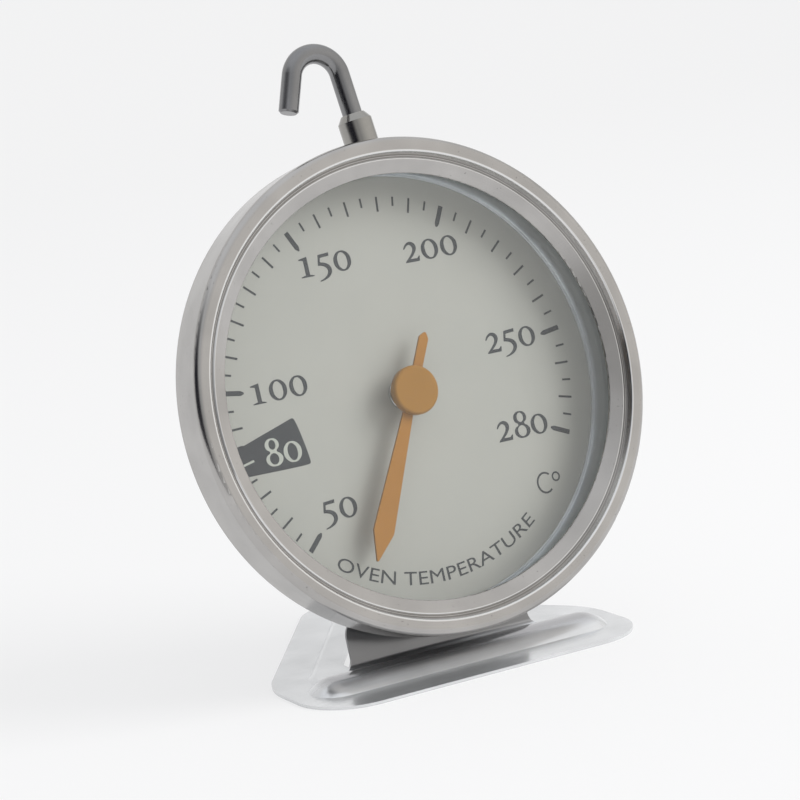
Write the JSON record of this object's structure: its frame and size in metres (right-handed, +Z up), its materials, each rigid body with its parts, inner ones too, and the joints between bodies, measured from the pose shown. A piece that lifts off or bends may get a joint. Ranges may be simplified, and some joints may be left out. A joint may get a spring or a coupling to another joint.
{
  "type": "dial oven thermometer",
  "caption": "Round dial oven thermometer: brushed steel bezel, flat glass, temperature dial with a turning pointer, a bent wire hook on top and a pressed steel foot with a raised tongue.",
  "frame": {"origin": "on the ground, under the middle of the overall box", "axes": "+Z up, the dial faces -Y and leans back, +X to the reader's right"},
  "size_m": [0.062, 0.045, 0.0774],
  "materials": {
    "bezel_steel": "brushed",
    "case_steel": "satin",
    "foot_steel": "polished",
    "glass": "clear",
    "gasket": "matte",
    "dial_face": "fine satin",
    "pointer_paint": "satin",
    "turned_steel": "turned",
    "collet_brass": "turned",
    "bimetal": "rolled strip",
    "hook_steel": "drawn wire",
    "ferrule_steel": "turned",
    "rivet_steel": "satin"
  },
  "bodies": {
    "case": {"bezel_ring": "bezel_steel", "bimetal_coil": "bimetal", "case_pan": "case_steel", "coil_anchor": "turned_steel", "dial_plate": "dial_face", "dial_spacer": "case_steel", "front_bush": "turned_steel", "hook_ferrule": "ferrule_steel", "hook_nut": "turned_steel", "hook_wire": "hook_steel", "lens_gasket": "gasket", "lens_glass": "glass", "rear_bush": "turned_steel", "rivet_washer_left": "turned_steel", "rivet_washer_right": "turned_steel", "rivet_washer_top": "turned_steel", "stand_foot": "foot_steel", "stand_rivet_left": "rivet_steel", "stand_rivet_right": "rivet_steel", "stand_rivet_top": "rivet_steel"},
    "pointer": {"pointer": "pointer_paint", "hub_cap": "pointer_paint", "pointer_bush": "turned_steel", "pointer_shaft": "turned_steel", "thrust_washer": "turned_steel", "coil_collet": "collet_brass"}
  },
  "joints": [
    {"name": "pointer_turn", "type": "hinge", "parent": "case", "child": "pointer", "pos_m": [0, -0.00628, 0.03316], "axis": [0, 0.9703, -0.2419], "range_deg": [-20, 272], "stiffness_Nm_per_rad": 0.002, "deforming": ["bimetal_coil"]}
  ]
}
